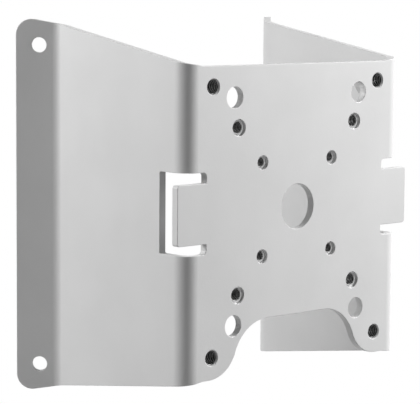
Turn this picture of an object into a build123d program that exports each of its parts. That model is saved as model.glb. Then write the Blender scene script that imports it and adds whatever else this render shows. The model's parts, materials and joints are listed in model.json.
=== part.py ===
from build123d import *
import os
from math import cos, isclose, pi, radians, sin, tan

# Corner mount bracket for an outdoor camera arm, in millimetres.
# One thick sheet is folded into a front plate, two wings that run back to the building,
# and two flanges that lie on the two walls of an outside corner. Nuts are fixed to the
# back of the plate for the bolts of the camera arm.
# The origin is the centre of the plate's bolt patterns, on its front face.
# +X points to the right, +Y points back to the building, and +Z points up.
# The sheet grows taller towards the walls, along edges that are straight in the flat sheet.

# Sheet
sheet_thickness = 5.0
edge_round = 0.4
hole_round = 0.3

# Front plate
plate_width = 185.7
plate_top = 88.3
plate_bottom = 100.2
plate_bend_radius = 10.0

# Cut-out in the plate's lower edge, with S-shaped sides
cutout_top = 67.1
cutout_width = 101.3
cutout_side_angle = 69.4
cutout_upper_radius = 28.0
cutout_straight = 0.4

# Wings, and the flanges on the walls
taper_lead = 4.6
wing_depth = 121.0
wall_corner_angle = 90.0
wall_bend_radius = 8.0
flange_width = 26.6
flange_top = 115.8
flange_bottom = 123.5
flange_corner_radius = 10.0

# Window round each tab, cut through the bend into the wing
window_lead = 6.8
window_depth = 23.1
window_top = 25.4
window_bottom = 23.8
window_plate_radius = 2.5
window_wing_radius = 1.0

# Tabs left in the plane of the plate
tab_overhang = 6.0
tab_top = 18.9
tab_bottom = 17.4
tab_corner_radius = 2.0

# Plain holes in the plate
cable_hole_diameter = 28.2
clearance_hole_diameter = 13.2
clearance_spacing_x = 107.1
clearance_spacing_z = 138.2

# Holes in the wall flanges
wall_hole_diameter = 9.6
wall_hole_edge_inset = 14.5
wall_hole_top_inset = 18.2
wall_hole_bottom_inset = 18.0

# Gap between a thread's outer diameter and the plain bore that stands for it
thread_allowance = 0.05
bore_chamfer = 0.5

# Gap between a pressed shank and its hole
press_clearance = 0.05
press_hole_rim = 0.25

# Corner nuts, welded to the back and tapped through together with the plate
corner_thread = 10.0
corner_nut_flats = 17.0
corner_nut_height = 8.0
corner_nut_face_share = 0.95
corner_nut_chamfer_angle = 30.0
corner_side_inset = 21.8
corner_top_inset = 12.4
corner_bottom_inset = 13.5
corner_rim = 0.25

# Middle nuts, pressed in from the back
middle_thread = 8.0
middle_shank_diameter = 10.4
middle_shank_recess = 1.7
middle_body_diameter = 12.7
middle_body_height = 5.5
middle_spacing_x = 100.0
middle_spacing_z = 101.5

# Inner nuts, pressed in from the back
inner_thread = 6.0
inner_shank_diameter = 8.65
inner_shank_recess = 2.1
inner_body_diameter = 11.0
inner_body_height = 4.1
inner_spacing_x = 59.7
inner_spacing_z = 57.6

# Length by which a cutting tool overshoots a wall
overshoot = 1.0

# Two lengths that differ by less than this are the same
near = 0.01

# An edge is sharp if the cosine between its faces' normals is below this
sharp_limit = 0.9

# Sizes worked out from the ones above
half_width = plate_width / 2
fold_angle = wall_corner_angle / 2
bend_start_x = half_width - plate_bend_radius
taper_start_x = bend_start_x - taper_lead
window_start_x = bend_start_x - window_lead
wall_bend_setback = wall_bend_radius * tan(radians(fold_angle / 2))
wing_end_y = wing_depth - wall_bend_setback
flange_flat = flange_width - wall_bend_setback

# Flat lengths from the start of the taper to the end of each stretch of the sheet
plate_end_length = taper_lead
plate_bend_length = plate_end_length + (plate_bend_radius - sheet_thickness / 2) * pi / 2
wing_length = plate_bend_length + wing_end_y - plate_bend_radius
wall_bend_length = wing_length + (wall_bend_radius + sheet_thickness / 2) * radians(fold_angle)
flange_length = wall_bend_length + flange_flat


def sheet_heights(flat_length):
    """Bottom and top of the sheet at a flat length past the start of the taper."""
    share = flat_length / flange_length
    top = plate_top + (flange_top - plate_top) * share
    bottom = plate_bottom + (flange_bottom - plate_bottom) * share
    return -bottom, top


def vertices_at(outline, x, y):
    """The two vertices of a symmetric outline that lie at x and at -x."""
    return [
        vertex
        for vertex in outline.vertices()
        if isclose(abs(vertex.X), x, abs_tol=near) and isclose(vertex.Y, y, abs_tol=near)
    ]


def front_plate():
    """Flat front plate up to the two bends, with the cut-out in its lower edge."""
    end_bottom, end_top = sheet_heights(plate_end_length)
    side_height = plate_bottom - cutout_top
    side_run = side_height / tan(radians(cutout_side_angle))
    shoulder_x = (cutout_width - side_run) / 2
    lobe_x = (cutout_width + side_run) / 2
    right_half = [
        (taper_start_x, plate_top),
        (bend_start_x, end_top),
        (bend_start_x, end_bottom),
        (taper_start_x, -plate_bottom),
        (lobe_x, -plate_bottom),
        (shoulder_x, -cutout_top),
    ]
    left_half = [(-x, z) for x, z in reversed(right_half)]
    outline = Polygon(*right_half, *left_half, align=None)

    # The two arcs of each side share its length, but for a short straight between them,
    # and the lower arc is no longer than the flat edge beside it
    arc_share = tan(radians(cutout_side_angle / 2))
    side_length = side_height / sin(radians(cutout_side_angle)) - cutout_straight
    edge_length = taper_start_x - lobe_x - cutout_straight
    lobe_radius = min(side_length / arc_share - cutout_upper_radius, edge_length / arc_share)
    outline = fillet(vertices_at(outline, shoulder_x, -cutout_top), cutout_upper_radius)
    outline = fillet(vertices_at(outline, lobe_x, -plate_bottom), lobe_radius)
    return extrude(Plane.XZ * outline, amount=sheet_thickness, dir=(0, 1, 0))


def bend(centre, inner_radius, start_angle, turn, start_heights, end_heights):
    """Round bend about a vertical line, between two heights of the sheet."""
    outer_radius = inner_radius + sheet_thickness
    outer = CenterArc(centre, outer_radius, start_angle, turn)
    inner = CenterArc(centre, inner_radius, start_angle, turn)
    strip = make_face(outer + inner + Line(outer @ 1, inner @ 1) + Line(inner @ 0, outer @ 0))
    lowest = min(start_heights[0], end_heights[0])
    highest = max(start_heights[1], end_heights[1])
    ring = Pos(0, 0, lowest) * extrude(strip, amount=highest - lowest)

    # A block that is swept between the two heights cuts the sloped edges of the ring
    path = CenterArc(centre, (inner_radius + outer_radius) / 2, start_angle, turn)
    ends = [(0, start_angle, start_heights), (1, start_angle + turn, end_heights)]
    sections = []
    for place, angle, (bottom, top) in ends:
        outward = (cos(radians(angle)), sin(radians(angle)), 0)
        middle = path @ place + Vector(0, 0, (bottom + top) / 2)
        frame = Plane(origin=middle, x_dir=outward, z_dir=path % place)
        rectangle = Rectangle(sheet_thickness + 2 * overshoot, top - bottom)
        sections.append(frame * rectangle)
    return ring & sweep(sections=sections, path=path, multisection=True)


def sloped_panel(frame, length, start_heights, end_heights, corner_radius=0):
    """Flat stretch of sheet that runs along the frame's x, between two heights."""
    outline = Polygon(
        (0, start_heights[0]),
        (length, end_heights[0]),
        (length, end_heights[1]),
        (0, start_heights[1]),
        align=None,
    )
    if corner_radius:
        far_corners = outline.vertices().group_by(Axis.X)[-1]
        outline = fillet(far_corners, corner_radius)
    return extrude(frame * outline, amount=sheet_thickness, dir=frame.z_dir)


def flange_frame():
    """Frame on the wall side of the right flange, whose x runs to the free edge."""
    turn = radians(fold_angle)
    along = Vector(sin(turn), cos(turn), 0)
    outward = Vector(cos(turn), -sin(turn), 0)
    bend_centre = Vector(half_width + wall_bend_radius, wing_end_y, 0)
    start = bend_centre - outward * (wall_bend_radius + sheet_thickness)
    return Plane(origin=start, x_dir=along, z_dir=outward)


def right_side():
    """Bend, wing, wall bend and wall flange on the right of the plate."""
    plate_bend = bend(
        (bend_start_x, plate_bend_radius),
        plate_bend_radius - sheet_thickness,
        -90,
        90,
        sheet_heights(plate_end_length),
        sheet_heights(plate_bend_length),
    )
    wing_frame = Plane(
        origin=(half_width - sheet_thickness, plate_bend_radius, 0),
        x_dir=(0, 1, 0),
        z_dir=(1, 0, 0),
    )
    wing = sloped_panel(
        wing_frame,
        wing_end_y - plate_bend_radius,
        sheet_heights(plate_bend_length),
        sheet_heights(wing_length),
    )
    wall_bend = bend(
        (half_width + wall_bend_radius, wing_end_y),
        wall_bend_radius,
        180,
        -fold_angle,
        sheet_heights(wing_length),
        sheet_heights(wall_bend_length),
    )
    flange = sloped_panel(
        flange_frame(),
        flange_flat,
        sheet_heights(wall_bend_length),
        sheet_heights(flange_length),
        flange_corner_radius,
    )
    return plate_bend + wing + wall_bend + flange


def right_window():
    """Cutter for the window, from the plate round the bend to its end in the wing."""
    reach = half_width + overshoot - window_start_x
    depth = window_depth + overshoot
    height = window_top + window_bottom
    block = Pos(
        window_start_x + reach / 2,
        window_depth - depth / 2,
        (window_top - window_bottom) / 2,
    ) * Box(reach, depth, height)
    plate_corners = block.edges().filter_by(Axis.Y).group_by(Axis.X)[0]
    block = fillet(plate_corners, window_plate_radius)
    wing_corners = block.edges().filter_by(Axis.X).group_by(Axis.Y)[-1]
    return fillet(wing_corners, window_wing_radius)


def right_tab():
    """Tab in the plane of the plate, from inside the plate to past the wing."""
    start = window_start_x - overshoot
    end = half_width + tab_overhang
    outline = Polygon(
        (start, -tab_bottom),
        (end, -tab_bottom),
        (end, tab_top),
        (start, tab_top),
        align=None,
    )
    free_corners = outline.vertices().group_by(Axis.X)[-1]
    outline = fillet(free_corners, tab_corner_radius)
    return extrude(Plane.XZ * outline, amount=sheet_thickness, dir=(0, 1, 0))


def both_sides(shape):
    """A shape and its mirror image on the left."""
    return shape + mirror(shape, about=Plane.YZ)


def rectangle_places(spacing_x, spacing_z):
    """Corners of a rectangle about the origin, as (x, z)."""
    half_x = spacing_x / 2
    half_z = spacing_z / 2
    return [(x, z) for z in (half_z, -half_z) for x in (-half_x, half_x)]


def corner_places():
    """Centres of the four corner threads, as (x, z)."""
    x = half_width - corner_side_inset
    top = plate_top - corner_top_inset
    bottom = corner_bottom_inset - plate_bottom
    return [(side, z) for z in (top, bottom) for side in (-x, x)]


def plate_drills(places, diameter, rim=0.0):
    """Cutters for round holes through the plate, with a conical rim at the front."""
    radius = diameter / 2
    back = sheet_thickness + overshoot
    profile = Polygon(
        (0, -overshoot),
        (radius + rim + overshoot, -overshoot),
        (radius, rim),
        (radius, back),
        (0, back),
        align=None,
    )
    tool = revolve(profile, axis=Axis.Y)
    return [Pos(x, 0, z) * tool for x, z in places]


def wall_drills():
    """Cutters for the holes in both wall flanges."""
    frame = flange_frame()
    distance = flange_flat - wall_hole_edge_inset
    heights = (flange_top - wall_hole_top_inset, wall_hole_bottom_inset - flange_bottom)
    tool = Cylinder(wall_hole_diameter / 2, sheet_thickness + 2 * overshoot)
    right = [frame * Pos(distance, z, sheet_thickness / 2) * tool for z in heights]
    return right + [mirror(drill, about=Plane.YZ) for drill in right]


def sharp_edges(solid):
    """Edges at which two faces of a solid meet at an angle."""
    owners = {}
    for face in solid.faces():
        for edge in face.edges():
            owners.setdefault(edge, []).append(face)
    found = []
    for edge, faces in owners.items():
        middle = edge.position_at(0.5)
        normals = [face.normal_at(middle) for face in faces]
        if normals[0].dot(normals[-1]) < sharp_limit:
            found.append(edge)
    return found


def rounded(sheet):
    """The sheet with the edges of its outline and of its plain holes rounded."""
    rims = [edge for edge in sharp_edges(sheet) if edge.is_closed]
    sheet = fillet(rims, hole_round)

    # Edges that run through the thickness are corners of the outline, and stay as cut
    outline = [
        edge
        for edge in sharp_edges(sheet)
        if not edge.is_closed and not isclose(edge.length, sheet_thickness, abs_tol=near)
    ]
    return fillet(outline, edge_round)


def folded_bracket():
    """The folded sheet with its windows, tabs and holes."""
    sheet = front_plate() + both_sides(right_side())
    sheet = sheet - both_sides(right_window()) + both_sides(right_tab())
    clearance_places = rectangle_places(clearance_spacing_x, clearance_spacing_z)
    sheet -= plate_drills([(0, 0)], cable_hole_diameter)
    sheet -= plate_drills(clearance_places, clearance_hole_diameter)
    sheet -= wall_drills()
    sheet = rounded(sheet)

    middle_places = rectangle_places(middle_spacing_x, middle_spacing_z)
    inner_places = rectangle_places(inner_spacing_x, inner_spacing_z)
    middle_hole = middle_shank_diameter + 2 * press_clearance
    inner_hole = inner_shank_diameter + 2 * press_clearance
    sheet -= plate_drills(middle_places, middle_hole, press_hole_rim)
    sheet -= plate_drills(inner_places, inner_hole, press_hole_rim)
    sheet -= plate_drills(corner_places(), corner_thread + thread_allowance, corner_rim)
    return sheet


def pressed_nut(thread, shank_diameter, shank_recess, body_diameter, body_height):
    """Round nut about +Y, with its shank in the plate and its wider body behind."""
    bore = (thread + thread_allowance) / 2
    shank = shank_diameter / 2
    body = body_diameter / 2
    back = sheet_thickness + body_height
    profile = Polygon(
        (bore, shank_recess + bore_chamfer),
        (bore + bore_chamfer, shank_recess),
        (shank, shank_recess),
        (shank, sheet_thickness),
        (body, sheet_thickness),
        (body, back - bore_chamfer),
        (body - bore_chamfer, back),
        (bore + bore_chamfer, back),
        (bore, back - bore_chamfer),
        align=None,
    )
    return revolve(profile, axis=Axis.Y)


def corner_nut():
    """Hexagon nut about +Y behind the plate, with its back corners turned off."""
    back = sheet_thickness + corner_nut_height
    bore = (corner_thread + thread_allowance) / 2
    flat_radius = corner_nut_flats / 2
    point_radius = flat_radius / cos(pi / 6)
    face_radius = flat_radius * corner_nut_face_share
    turned_depth = (point_radius - face_radius) * tan(radians(corner_nut_chamfer_angle))
    profile = Polygon(
        (bore, sheet_thickness),
        (point_radius, sheet_thickness),
        (point_radius, back - turned_depth),
        (face_radius, back),
        (bore + bore_chamfer, back),
        (bore, back - bore_chamfer),
        align=None,
    )
    hexagon = RegularPolygon(flat_radius, 6, major_radius=False)
    prism = extrude(Plane.XZ * hexagon, amount=back, dir=(0, 1, 0))
    return revolve(profile, axis=Axis.Y) & prism


def group(nut, places):
    """Copies of a nut at places on the plate, as separate solids of one part."""
    return Compound([Pos(x, 0, z) * nut for x, z in places])


def all_parts():
    """Every part under its name."""
    middle_nut = pressed_nut(
        middle_thread,
        middle_shank_diameter,
        middle_shank_recess,
        middle_body_diameter,
        middle_body_height,
    )
    inner_nut = pressed_nut(
        inner_thread,
        inner_shank_diameter,
        inner_shank_recess,
        inner_body_diameter,
        inner_body_height,
    )
    return {
        "folded_bracket": folded_bracket(),
        "corner_nuts": group(corner_nut(), corner_places()),
        "middle_nuts": group(middle_nut, rectangle_places(middle_spacing_x, middle_spacing_z)),
        "inner_nuts": group(inner_nut, rectangle_places(inner_spacing_x, inner_spacing_z)),
    }


os.makedirs("parts", exist_ok=True)
for name, solid in all_parts().items():
    export_step(solid, f"parts/{name}.step")
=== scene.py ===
"""Looks of a folded corner mount bracket: its finishes, screw threads, studio and camera."""

import json
import logging
from collections.abc import Mapping
from dataclasses import dataclass
from enum import Enum
from math import cos, pi, radians, sin

import bmesh
import bpy
from mathutils import Matrix, Vector


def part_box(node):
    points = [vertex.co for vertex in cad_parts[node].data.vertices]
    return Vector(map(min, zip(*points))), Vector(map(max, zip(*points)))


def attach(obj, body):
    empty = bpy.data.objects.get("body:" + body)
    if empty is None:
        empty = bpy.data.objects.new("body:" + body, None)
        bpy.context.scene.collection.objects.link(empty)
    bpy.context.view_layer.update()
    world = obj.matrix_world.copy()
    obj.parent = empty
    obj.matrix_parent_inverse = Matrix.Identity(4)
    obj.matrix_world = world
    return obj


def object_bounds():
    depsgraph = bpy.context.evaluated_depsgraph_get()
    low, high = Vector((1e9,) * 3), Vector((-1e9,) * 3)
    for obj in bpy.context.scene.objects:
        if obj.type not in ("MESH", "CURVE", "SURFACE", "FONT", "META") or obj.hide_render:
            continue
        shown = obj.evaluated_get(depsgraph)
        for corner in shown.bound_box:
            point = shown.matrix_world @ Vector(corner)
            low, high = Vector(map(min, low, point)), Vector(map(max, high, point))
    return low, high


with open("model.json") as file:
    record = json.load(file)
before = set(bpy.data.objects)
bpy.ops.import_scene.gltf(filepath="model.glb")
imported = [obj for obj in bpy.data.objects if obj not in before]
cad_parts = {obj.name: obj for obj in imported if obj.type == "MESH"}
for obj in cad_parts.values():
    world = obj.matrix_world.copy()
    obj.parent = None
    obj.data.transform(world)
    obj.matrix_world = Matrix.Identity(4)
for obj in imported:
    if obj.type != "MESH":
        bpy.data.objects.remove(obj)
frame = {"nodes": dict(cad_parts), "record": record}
CAD_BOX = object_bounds()

MM = 0.001
BODY = "root"

# Layers of the noise that makes clouds, spangles and streaks, and of the finer kinds
CLOUD_LAYERS = 3.0
GRAIN_LAYERS = 2.0

# Sockets of a Mix node for colours, which share their names with those for numbers
MIX_SHARE, MIX_FIRST, MIX_SECOND, MIX_RESULT = 0, 6, 7, 2

# Sockets of a Mix Shader node, whose two shaders share one name
SHADER_SHARE, SHADER_FIRST, SHADER_SECOND = 0, 1, 2

Colour = tuple[float, float, float, float]

log = logging.getLogger("bracket")


class Value:
    """One output of a node, which takes part in Python expressions."""

    def __init__(self, tree: "Tree", socket: bpy.types.NodeSocket) -> None:
        """Wraps a socket of a tree."""
        self.tree = tree
        self.socket = socket

    def math(self, operation: str, *others: "Value | float") -> "Value":
        """Math node of this value and others.

        Args:
            operation: Blender's name of the operation.
            others: The further inputs, in order.

        Returns:
            The node's result.
        """
        inputs = dict(enumerate((self, *others)))
        return self.tree.node("ShaderNodeMath", {"operation": operation}, inputs)

    def __add__(self, other: "Value | float") -> "Value":
        """This value plus another."""
        return self.math("ADD", other)

    def __sub__(self, other: "Value | float") -> "Value":
        """This value less another."""
        return self.math("SUBTRACT", other)

    def __rsub__(self, other: float) -> "Value":
        """A number less this value."""
        return (self * -1) + other

    def __mul__(self, other: "Value | float") -> "Value":
        """This value times another."""
        return self.math("MULTIPLY", other)

    def __abs__(self) -> "Value":
        """This value without its sign."""
        return self.math("ABSOLUTE")

    def __pow__(self, power: float) -> "Value":
        """This value to a power."""
        return self.math("POWER", power)

    __radd__ = __add__
    __rmul__ = __mul__

    def step(self, low: float, high: float) -> "Value":
        """Smooth step of this value.

        Args:
            low: Where the result is 0.
            high: Where the result is 1.

        Returns:
            The result, from 0 to 1.
        """
        inputs = {"Value": self, "From Min": low, "From Max": high}
        settings = {"interpolation_type": "SMOOTHSTEP"}
        return self.tree.node("ShaderNodeMapRange", settings, inputs)


class Tree:
    """A node tree, with the calls that fill it."""

    def __init__(self, tree: bpy.types.NodeTree) -> None:
        """Empties the tree."""
        self.tree = tree
        tree.nodes.clear()

    def node(
        self,
        kind: str,
        settings: Mapping[str, object] | None = None,
        inputs: Mapping[str | int, object] | None = None,
        output: str | int = 0,
    ) -> Value:
        """Adds one node.

        Args:
            kind: The node's type.
            settings: Its properties, which are set first.
            inputs: Values or links of its sockets, by name or number.
            output: The output that is wanted, by name or number.

        Returns:
            That output.
        """
        node = self.tree.nodes.new(kind)
        for name, setting in (settings or {}).items():
            setattr(node, name, setting)
        for name, value in (inputs or {}).items():
            if isinstance(value, Value):
                self.tree.links.new(value.socket, node.inputs[name])
            else:
                node.inputs[name].default_value = value
        return Value(self, node.outputs[output] if node.outputs else None)

    def place(self) -> Value:
        """Place of the point in the object's own frame, in metres."""
        return self.node("ShaderNodeTexCoord", output="Object")

    def axes(self, place: Value) -> list[Value]:
        """The x, y and z of a place."""
        inputs = {"Vector": place}
        return [self.node("ShaderNodeSeparateXYZ", None, inputs, name) for name in "XYZ"]

    def noise(self, place: Value, size: float, layers: float = GRAIN_LAYERS) -> Value:
        """Cloudy noise.

        Args:
            place: Where it is read.
            size: Width of its patches, in metres.
            layers: How many finer layers it has.

        Returns:
            The noise, about 0.5.
        """
        inputs = {"Vector": place, "Scale": 1 / size, "Detail": layers}
        return self.node("ShaderNodeTexNoise", None, inputs, "Fac")

    def mix(self, share: Value, first: Value | Colour, second: Value | Colour) -> Value:
        """Mix of two colours.

        Args:
            share: Share of the second colour.
            first: Colour where the share is 0.
            second: Colour where the share is 1.

        Returns:
            The mixed colour.
        """
        inputs = {MIX_SHARE: share, MIX_FIRST: first, MIX_SECOND: second}
        return self.node("ShaderNodeMix", {"data_type": "RGBA"}, inputs, MIX_RESULT)

    def bump(self, height: Value, depth: float) -> Value:
        """Normal of a fine relief.

        Args:
            height: The relief, about 0 to 1.
            depth: The height of 1, in metres.

        Returns:
            The normal.
        """
        return self.node("ShaderNodeBump", None, {"Distance": depth, "Height": height})

    def surface(self, **inputs: object) -> None:
        """Ends the tree in a Principled BSDF.

        Args:
            inputs: Values or links of its sockets, named with _ for a space.
        """
        named = {name.replace("_", " "): value for name, value in inputs.items()}
        shader = self.node("ShaderNodeBsdfPrincipled", None, named)
        self.node("ShaderNodeOutputMaterial", None, {"Surface": shader})


def new_material(name: str) -> tuple[bpy.types.Material, Tree]:
    """Makes an empty material.

    Args:
        name: Its name.

    Returns:
        The material and its tree.
    """
    material = bpy.data.materials.new(name)
    material.use_nodes = True
    return material, Tree(material.node_tree)


def grey(value: float) -> Colour:
    """Linear grey as a colour."""
    return (value, value, value, 1.0)


@dataclass(frozen=True)
class HolePattern:
    """Four holes at the corners of a rectangle, with axes along y."""

    centre: Vector
    spacing: Vector
    radius: float

    @classmethod
    def of_mount(cls, name: str) -> "HolePattern":
        """Reads a pattern from the record.

        Args:
            name: The mount's name.

        Returns:
            The pattern, in metres.
        """
        mount = next(m for m in frame["record"]["mounts"] if m["name"] == name)
        dims = mount["dims"]
        spacing = Vector((dims["spacing_x_mm"], 0, dims["spacing_y_mm"])) * MM
        return cls(Vector(mount["pos_m"]), spacing, dims["hole_r_mm"] * MM)

    def axes(self) -> list[Vector]:
        """Places the four axes.

        Returns:
            A point on each of them, at y = 0.
        """
        half = self.spacing / 2
        middle = Vector((self.centre.x, 0, self.centre.z))
        return [
            middle + Vector((side * half.x, 0, rise * half.z))
            for side in (-1, 1)
            for rise in (-1, 1)
        ]

    def from_axis(self, tree: Tree, place: Value) -> Value:
        """Distance from the nearest of the four axes.

        Args:
            tree: The tree that it is worked out in.
            place: The point.

        Returns:
            The distance, in metres.
        """
        x, _, z = tree.axes(place)
        side = abs(x - self.centre.x) - self.spacing.x / 2
        rise = abs(z - self.centre.z) - self.spacing.z / 2
        return (side**2.0 + rise**2.0) ** 0.5


@dataclass(frozen=True)
class PowderCoat:
    """Light grey powder coat with a fine orange peel, paler and smoother round the holes, partly
    for wear of the coat and partly as a painted highlight on the rims.
    """

    light: float = 0.74
    dark: float = 0.70
    cloud_size: float = 45 * MM
    cloud_share: float = 0.7
    shade_range: tuple[float, float] = (0.3, 0.7)
    peel_size: float = 1.6 * MM
    peel_depth: float = 0.035 * MM
    grain_size: float = 0.35 * MM
    grain_share: float = 0.18
    roughness: float = 0.46
    roughness_spread: float = 0.10
    # The rim tone is partly wear of the coat and partly a painted highlight on the hole rims.
    rim: float = 0.86
    rim_width: float = 0.5 * MM
    rim_core: float = 0.25
    rim_gloss: float = 0.16
    rims: tuple[tuple[str, float], ...] = (
        ("corner_threads", 5.0 * MM),
        ("middle_threads", 5.25 * MM),
        ("inner_threads", 4.375 * MM),
        ("clearance_holes", 6.6 * MM),
    )

    def rim_wear_and_highlight(self, tree: Tree, place: Value) -> Value:
        """1 at the rims of the small holes, where the coat wears thin and a highlight is painted,
        and 0 beyond them.

        Args:
            tree: The tree that it is worked out in.
            place: The point.

        Returns:
            The share of wear and painted highlight.
        """
        shares = []
        for mount, radius in self.rims:
            distance = HolePattern.of_mount(mount).from_axis(tree, place)
            worn_to = radius + self.rim_core * self.rim_width
            shares.append(1 - distance.step(worn_to, radius + self.rim_width))
        _, depth, _ = tree.axes(place)
        on_front = 1 - depth.step(self.rim_width / 2, self.rim_width)
        return sum(shares[1:], shares[0]) * on_front

    def material(self) -> bpy.types.Material:
        """Builds the material.

        Returns:
            The material.
        """
        material, tree = new_material("powder_coat_grey")
        place = tree.place()
        worn_highlit_rim = self.rim_wear_and_highlight(tree, place)
        cloud = tree.noise(place, self.cloud_size, CLOUD_LAYERS)
        peel = tree.noise(place, self.peel_size)
        grain = tree.noise(place, self.grain_size)
        relief = peel * (1 - self.grain_share) + grain * self.grain_share
        rough = (cloud + grain - 1.0) * self.roughness_spread + self.roughness
        shade = cloud * self.cloud_share + grain * (1 - self.cloud_share)
        coat = tree.mix(shade.step(*self.shade_range), grey(self.dark), grey(self.light))
        tree.surface(
            # Painted highlight: the rims of the holes are coloured paler, partly for wear of the
            # coat and partly as the highlight that the rims catch.
            Base_Color=tree.mix(worn_highlit_rim, coat, grey(self.rim)),
            Roughness=rough - worn_highlit_rim * self.rim_gloss,
            Normal=tree.bump(relief, self.peel_depth),
        )
        return material


@dataclass(frozen=True)
class ZincPlate:
    """Zinc plated steel of the nuts, with fine lines along their sides and a bore darkened with
    oil and painted shade.
    """

    light: float = 0.62
    dark: float = 0.50
    # The bore tone is partly oil and partly painted shade inside the recess.
    bore: float = 0.02
    bore_edge: float = 0.12 * MM
    bore_metallic: float = 0.4
    spangle_size: float = 2.2 * MM
    spangle_range: tuple[float, float] = (0.35, 0.65)
    line_size: float = 0.25 * MM
    line_squeeze: tuple[float, float, float] = (1.0, 0.08, 1.0)
    line_depth: float = 0.006 * MM
    roughness: float = 0.36
    roughness_spread: float = 0.16

    def material(self, name: str, pattern: HolePattern) -> bpy.types.Material:
        """Builds the material.

        Args:
            name: Its name.
            pattern: The bores, which are darkened with oil and painted shade.

        Returns:
            The material.
        """
        material, tree = new_material(name)
        place = tree.place()
        radius = pattern.from_axis(tree, place)
        # Painted shade: the bores are coloured near black, partly for oil and partly as the shade
        # inside the recess.
        oily_shaded_bore = 1 - radius.step(pattern.radius, pattern.radius + self.bore_edge)
        spangle = tree.noise(place, self.spangle_size, CLOUD_LAYERS)
        inputs = {"Vector": place, "Scale": self.line_squeeze}
        lines = tree.noise(tree.node("ShaderNodeMapping", None, inputs), self.line_size)
        share = spangle.step(*self.spangle_range)
        plate = tree.mix(share, grey(self.dark), grey(self.light))
        tree.surface(
            Base_Color=tree.mix(oily_shaded_bore, plate, grey(self.bore)),
            Metallic=1 - oily_shaded_bore * (1 - self.bore_metallic),
            Roughness=(lines - 0.5) * self.roughness_spread + self.roughness,
            Normal=tree.bump(lines, self.line_depth),
        )
        return material


@dataclass(frozen=True)
class CutSteel:
    """Cut steel of the thread ridges: bright on the crests where the steel wears, near black at
    the roots with grime and painted shade.
    """

    crest: float = 0.62
    # The root tone is partly grime and partly painted shade in the thread's grooves.
    root: float = 0.003
    crest_share: float = 0.22
    streak_size: float = 0.9 * MM
    streak_depth: float = 0.6
    relief_size: float = 0.2 * MM
    relief_depth: float = 0.008 * MM
    metallic: float = 0.5
    gloss_level: float = 0.1
    roughness: float = 0.45
    roughness_spread: float = 0.20

    def material(self, name: str, pattern: HolePattern, depth: float) -> bpy.types.Material:
        """Builds the material.

        Args:
            name: Its name.
            pattern: The threaded holes.
            depth: Height of a ridge.

        Returns:
            The material.
        """
        material, tree = new_material(name)
        place = tree.place()
        streak = tree.noise(place, self.streak_size, CLOUD_LAYERS)
        relief = tree.noise(place, self.relief_size)
        top = pattern.radius - depth
        low = top + self.crest_share * depth
        # Painted shade: the roots between the ridges are coloured near black, partly for grime and
        # partly as the shade in the thread's grooves.
        on_crest = 1 - pattern.from_axis(tree, place).step(top, low)
        share = on_crest * (1 - streak * self.streak_depth)
        tree.surface(
            Base_Color=tree.mix(share, grey(self.root), grey(self.crest)),
            Metallic=share * self.metallic,
            Specular_IOR_Level=self.gloss_level,
            Roughness=(streak - 0.5) * self.roughness_spread + self.roughness,
            Normal=tree.bump(relief, self.relief_depth),
        )
        return material


class Thread(Enum):
    """Coarse metric threads, as outer diameter and pitch in metres."""

    M6 = (6.0 * MM, 1.0 * MM)
    M8 = (8.0 * MM, 1.25 * MM)
    M10 = (10.0 * MM, 1.5 * MM)

    @property
    def radius(self) -> float:
        """Radius at the root of the ridge."""
        return self.value[0] / 2

    @property
    def pitch(self) -> float:
        """Rise of one turn."""
        return self.value[1]


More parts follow.
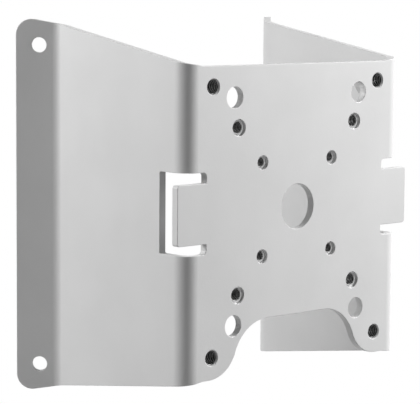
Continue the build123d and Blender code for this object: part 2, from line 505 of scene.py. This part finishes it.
@dataclass
class ThreadedNuts:
    """Four nuts of one size, with the helical ridges in their bores and the cones before them.

    Height, root and crest of a ridge are shares of the pitch, as on a metric thread. The depth
    of a cone is a share of that height. The spare turns run past each end of a ridge until the
    ends are cut.
    """

    node: str
    mount: str
    thread: Thread
    from_plate_face: bool = False
    rim: float = 0.3 * MM
    overlap: float = 0.05 * MM
    depth_share: float = 0.5413
    root_share: float = 0.875
    crest_share: float = 0.25
    steps_per_turn: int = 32
    spare_turns: float = 1.0
    cone_share: float = 0.55
    cone_steps: int = 48
    merge_distance: float = 0.001 * MM

    @property
    def pattern(self) -> HolePattern:
        """The four threaded holes."""
        return HolePattern.of_mount(self.mount)

    @property
    def ridge_height(self) -> float:
        """Height of a ridge above its root."""
        return self.depth_share * self.thread.pitch

    @property
    def cone_depth(self) -> float:
        """Depth of a cone, and how much it narrows, at 45 degrees."""
        return self.cone_share * self.ridge_height

    @property
    def mouth(self) -> tuple[float, float]:
        """Front and back y of the cones, behind the rounded rim of the sheet or the nut's face."""
        front = self.rim if self.from_plate_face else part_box(self.node)[0].y + self.overlap
        return front, front + self.cone_depth

    @property
    def reach(self) -> tuple[float, float]:
        """Lowest and highest y of the ridges, from inside the cone to near the back of the nut."""
        return self.mouth[1] - self.overlap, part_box(self.node)[1].y - self.rim

    def ridge(self, start: float, end: float) -> bmesh.types.BMesh:
        """One helical ridge about the y axis, cut flat at its ends.

        Args:
            start: Its lowest y.
            end: Its highest y.

        Returns:
            The closed ridge.
        """
        pitch = self.thread.pitch
        outer = self.thread.radius
        inner = outer - self.ridge_height
        half_root = self.root_share * pitch / 2
        half_crest = self.crest_share * pitch / 2
        lower = [(outer, -half_root), (inner, -half_crest)]
        upper = [(inner, half_crest), (outer, half_root)]
        first = start - self.spare_turns * pitch
        mesh = bmesh.new()
        corners = [mesh.verts.new((x, first + y, 0)) for x, y in lower + upper]
        mesh.faces.new(corners)
        turns = (end - start) / pitch + 2 * self.spare_turns
        steps = round(turns * self.steps_per_turn)
        bmesh.ops.spin(
            mesh,
            geom=[*mesh.verts, *mesh.edges, *mesh.faces],
            cent=(0, 0, 0),
            axis=(0, 1, 0),
            dvec=(0, turns * pitch / steps, 0),
            angle=turns * 2 * pi,
            steps=steps,
        )
        for level, outward in ((start, -1), (end, 1)):
            cut = bmesh.ops.bisect_plane(
                mesh,
                geom=[*mesh.verts, *mesh.edges, *mesh.faces],
                plane_co=(0, level, 0),
                plane_no=(0, outward, 0),
                clear_outer=True,
            )["geom_cut"]
            edges = [item for item in cut if isinstance(item, bmesh.types.BMEdge)]
            bmesh.ops.holes_fill(mesh, edges=edges)
        bmesh.ops.recalc_face_normals(mesh, faces=mesh.faces)
        return mesh

    def cone(self, front: float, back: float) -> bmesh.types.BMesh:
        """The lead-in of one thread: a ring with a cone inside, which narrows to the ridges.

        Args:
            front: Its y at the wide end.
            back: Its y at the narrow end.

        Returns:
            The closed ring.
        """
        outer = self.thread.radius
        inner = outer - self.cone_depth
        section = [(outer, front), (inner, back), (outer, back)]
        mesh = bmesh.new()
        corners = [mesh.verts.new((x, y, 0)) for x, y in section]
        edges = [mesh.edges.new((corners[i - 1], corners[i])) for i in range(len(corners))]
        bmesh.ops.spin(
            mesh,
            geom=[*corners, *edges],
            cent=(0, 0, 0),
            axis=(0, 1, 0),
            angle=2 * pi,
            steps=self.cone_steps,
            use_merge=True,
        )
        bmesh.ops.remove_doubles(mesh, verts=mesh.verts, dist=self.merge_distance)
        bmesh.ops.recalc_face_normals(mesh, faces=mesh.faces)
        return mesh

    def repeat(self, mesh: bmesh.types.BMesh, name: str) -> bpy.types.Object:
        """Makes a piece of four copies of a mesh, one on each axis of the pattern.

        Args:
            mesh: The mesh about the y axis, which is used up.
            name: Name of the piece.

        Returns:
            The piece.
        """
        one = [*mesh.verts, *mesh.edges, *mesh.faces]
        for axis in self.pattern.axes():
            copy = bmesh.ops.duplicate(mesh, geom=one)["geom"]
            verts = [item for item in copy if isinstance(item, bmesh.types.BMVert)]
            bmesh.ops.translate(mesh, verts=verts, vec=axis)
        verts = [item for item in one if isinstance(item, bmesh.types.BMVert)]
        bmesh.ops.delete(mesh, geom=verts, context="VERTS")
        data = bpy.data.meshes.new(name)
        mesh.to_mesh(data)
        mesh.free()
        piece = bpy.data.objects.new(name, data)
        bpy.context.scene.collection.objects.link(piece)
        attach(piece, BODY)
        return piece

    def build(self) -> tuple[bpy.types.Object, bpy.types.Object]:
        """Makes the ridges and the cones, and seats them in the bores.

        Returns:
            The ridges and the cones.
        """
        size = self.thread.name
        ridges = self.repeat(self.ridge(*self.reach), f"{size}_thread_ridges")
        cones = self.repeat(self.cone(*self.mouth), f"{size}_thread_mouths")
        return ridges, cones

    def dress(
        self,
        ridges: bpy.types.Object,
        cones: bpy.types.Object,
        plate: ZincPlate,
        cut: CutSteel,
        coat: bpy.types.Material,
    ) -> None:
        """Gives the nuts, the ridges and the cones their finishes.

        Args:
            ridges: The ridges.
            cones: The cones before them.
            plate: Finish of the nuts.
            cut: Finish of the ridges.
            coat: The sheet's coat, which reaches over the cones.
        """
        nuts = frame["nodes"][self.node]
        nuts.material_slots[0].material = plate.material(f"{self.node}_zinc", self.pattern)
        steel = cut.material(f"{ridges.name}_steel", self.pattern, self.ridge_height)
        ridges.data.materials.append(steel)
        cones.data.materials.append(coat)


@dataclass
class FoldedBracket:
    """The folded sheet, which keeps its CAD mesh."""

    node: str = "folded_bracket"

    def dress(self, coat: bpy.types.Material) -> None:
        """Gives the sheet its coat."""
        frame["nodes"][self.node].material_slots[0].material = coat


@dataclass
class SoftLamp:
    """A square soft box that points at the object, at angles in degrees from its front."""

    name: str
    side: float
    rise: float
    size: float
    power: float
    distance: float = 1.2

    def build(self, target: Vector) -> None:
        """Hangs the lamp.

        Args:
            target: The point that it faces.
        """
        side, rise = radians(self.side), radians(self.rise)
        away = Vector((sin(side) * cos(rise), -cos(side) * cos(rise), sin(rise)))
        data = bpy.data.lights.new(self.name, "AREA")
        data.shape = "SQUARE"
        data.size = self.size
        data.energy = self.power
        lamp = bpy.data.objects.new(self.name, data)
        lamp.location = target + away * self.distance
        lamp.rotation_euler = away.to_track_quat("Z", "Y").to_euler()
        bpy.context.scene.collection.objects.link(lamp)


@dataclass
class Studio:
    """White floor, white surroundings and the soft boxes round the object."""

    floor_drop: float = 0.6
    floor_size: float = 12.0
    shade_radius: float = 0.5
    clear_radius: float = 1.1
    floor_tone: float = 0.80
    lamps: tuple[SoftLamp, ...] = (
        SoftLamp("front_right_box", side=47, rise=27, size=0.45, power=17.3),
        SoftLamp("left_box", side=-108, rise=20, size=0.4, power=3.4),
        SoftLamp("left_back_box", side=-127, rise=20, size=0.4, power=6.9),
        SoftLamp("high_back_box", side=-134, rise=50, size=0.4, power=1.9),
    )

    def seen(self, tree: Tree) -> Value:
        """Tells the rays that look from those that light.

        Args:
            tree: The tree that it is worked out in.

        Returns:
            1 for rays of the camera, of gloss and of glass, and 0 for the rest.
        """
        names = ("Is Camera Ray", "Is Glossy Ray", "Is Transmission Ray")
        camera, gloss, glass = (
            tree.node("ShaderNodeLightPath", None, None, name) for name in names
        )
        return (camera + gloss + glass).math("MINIMUM", 1.0)

    def surroundings(self) -> None:
        """Makes the world, which is white to look at and gives no light."""
        world = bpy.data.worlds.new("studio_air")
        world.use_nodes = True
        bpy.context.scene.world = world
        tree = Tree(world.node_tree)
        inputs = {"Color": grey(1.0), "Strength": self.seen(tree)}
        air = tree.node("ShaderNodeBackground", None, inputs)
        tree.node("ShaderNodeOutputWorld", None, {"Surface": air})

    def floor(self) -> None:
        """Makes the floor, which holds the shadow near the object and is white further out."""
        low, high = CAD_BOX
        middle = (low + high) / 2
        place = Vector((middle.x, middle.y, low.z - self.floor_drop))
        mesh = bmesh.new()
        bmesh.ops.create_grid(mesh, x_segments=1, y_segments=1, size=self.floor_size)
        bmesh.ops.translate(mesh, verts=mesh.verts, vec=place)
        data = bpy.data.meshes.new("studio_floor")
        mesh.to_mesh(data)
        mesh.free()
        floor = bpy.data.objects.new("studio_floor", data)
        bpy.context.scene.collection.objects.link(floor)
        material, tree = new_material("pale_floor")
        x, y, _ = tree.axes(tree.place())
        radius = ((x - place.x) ** 2.0 + (y - place.y) ** 2.0) ** 0.5
        far = radius.step(self.shade_radius, self.clear_radius)
        paint = tree.node("ShaderNodeBsdfDiffuse", None, {"Color": grey(self.floor_tone)})
        glow = tree.node("ShaderNodeEmission", None, {"Color": grey(1.0), "Strength": 1.0})
        share = far * self.seen(tree)
        inputs = {SHADER_SHARE: share, SHADER_FIRST: paint, SHADER_SECOND: glow}
        mixed = tree.node("ShaderNodeMixShader", None, inputs)
        tree.node("ShaderNodeOutputMaterial", None, {"Surface": mixed})
        data.materials.append(material)

    def build(self) -> None:
        """Makes the surroundings, the floor and the lamps."""
        low, high = CAD_BOX
        self.surroundings()
        self.floor()
        for lamp in self.lamps:
            lamp.build((low + high) / 2)
        bpy.context.scene.view_settings.view_transform = "Standard"


@dataclass
class PhotoCamera:
    """Camera at the photograph's place, fitted to the hole patterns."""

    azimuth: float = -42.42
    elevation: float = 6.326
    roll: float = 0.422
    distance: float = 1162.99 * MM
    target: tuple[float, float, float] = (-73.23 * MM, 0.0, 7.74 * MM)
    focal_pixels: float = 1959.8
    image_width: float = 420.0
    sensor_width: float = 36.0
    nearest: float = 0.05
    furthest: float = 100.0

    def build(self) -> None:
        """Places the camera and makes it the scene's own."""
        turn, rise, roll = (radians(a) for a in (self.azimuth, self.elevation, self.roll))
        back = Vector((sin(turn) * cos(rise), -cos(turn) * cos(rise), sin(rise)))
        level = Vector((0, 0, 1)).cross(back).normalized()
        upright = back.cross(level)
        right = level * cos(roll) + upright * sin(roll)
        up = upright * cos(roll) - level * sin(roll)
        data = bpy.data.cameras.new("photo_camera")
        data.sensor_width = self.sensor_width
        data.lens = self.focal_pixels / self.image_width * self.sensor_width
        data.clip_start = self.nearest
        data.clip_end = self.furthest
        camera = bpy.data.objects.new("photo_camera", data)
        turned = Matrix((right, up, back)).transposed().to_4x4()
        place = Vector(self.target) + back * self.distance
        camera.matrix_world = Matrix.Translation(place) @ turned
        bpy.context.scene.collection.objects.link(camera)
        bpy.context.scene.camera = camera


def main() -> None:
    """Dresses the bracket and sets up the studio."""
    logging.basicConfig(level=logging.INFO, format="%(name)s: %(message)s")
    PhotoCamera().build()
    Studio().build()
    coat = PowderCoat().material()
    bracket = FoldedBracket()
    bracket.dress(coat)
    log.info("%s: powder coat", bracket.node)
    for nuts in (
        ThreadedNuts("corner_nuts", "corner_threads", Thread.M10, from_plate_face=True),
        ThreadedNuts("middle_nuts", "middle_threads", Thread.M8),
        ThreadedNuts("inner_nuts", "inner_threads", Thread.M6),
    ):
        pieces = nuts.build()
        nuts.dress(*pieces, ZincPlate(), CutSteel(), coat)
        log.info("%s: zinc plate", nuts.node)
        for piece in pieces:
            log.info("%s: %d faces", piece.name, len(piece.data.polygons))


if __name__ == "__main__":
    main()
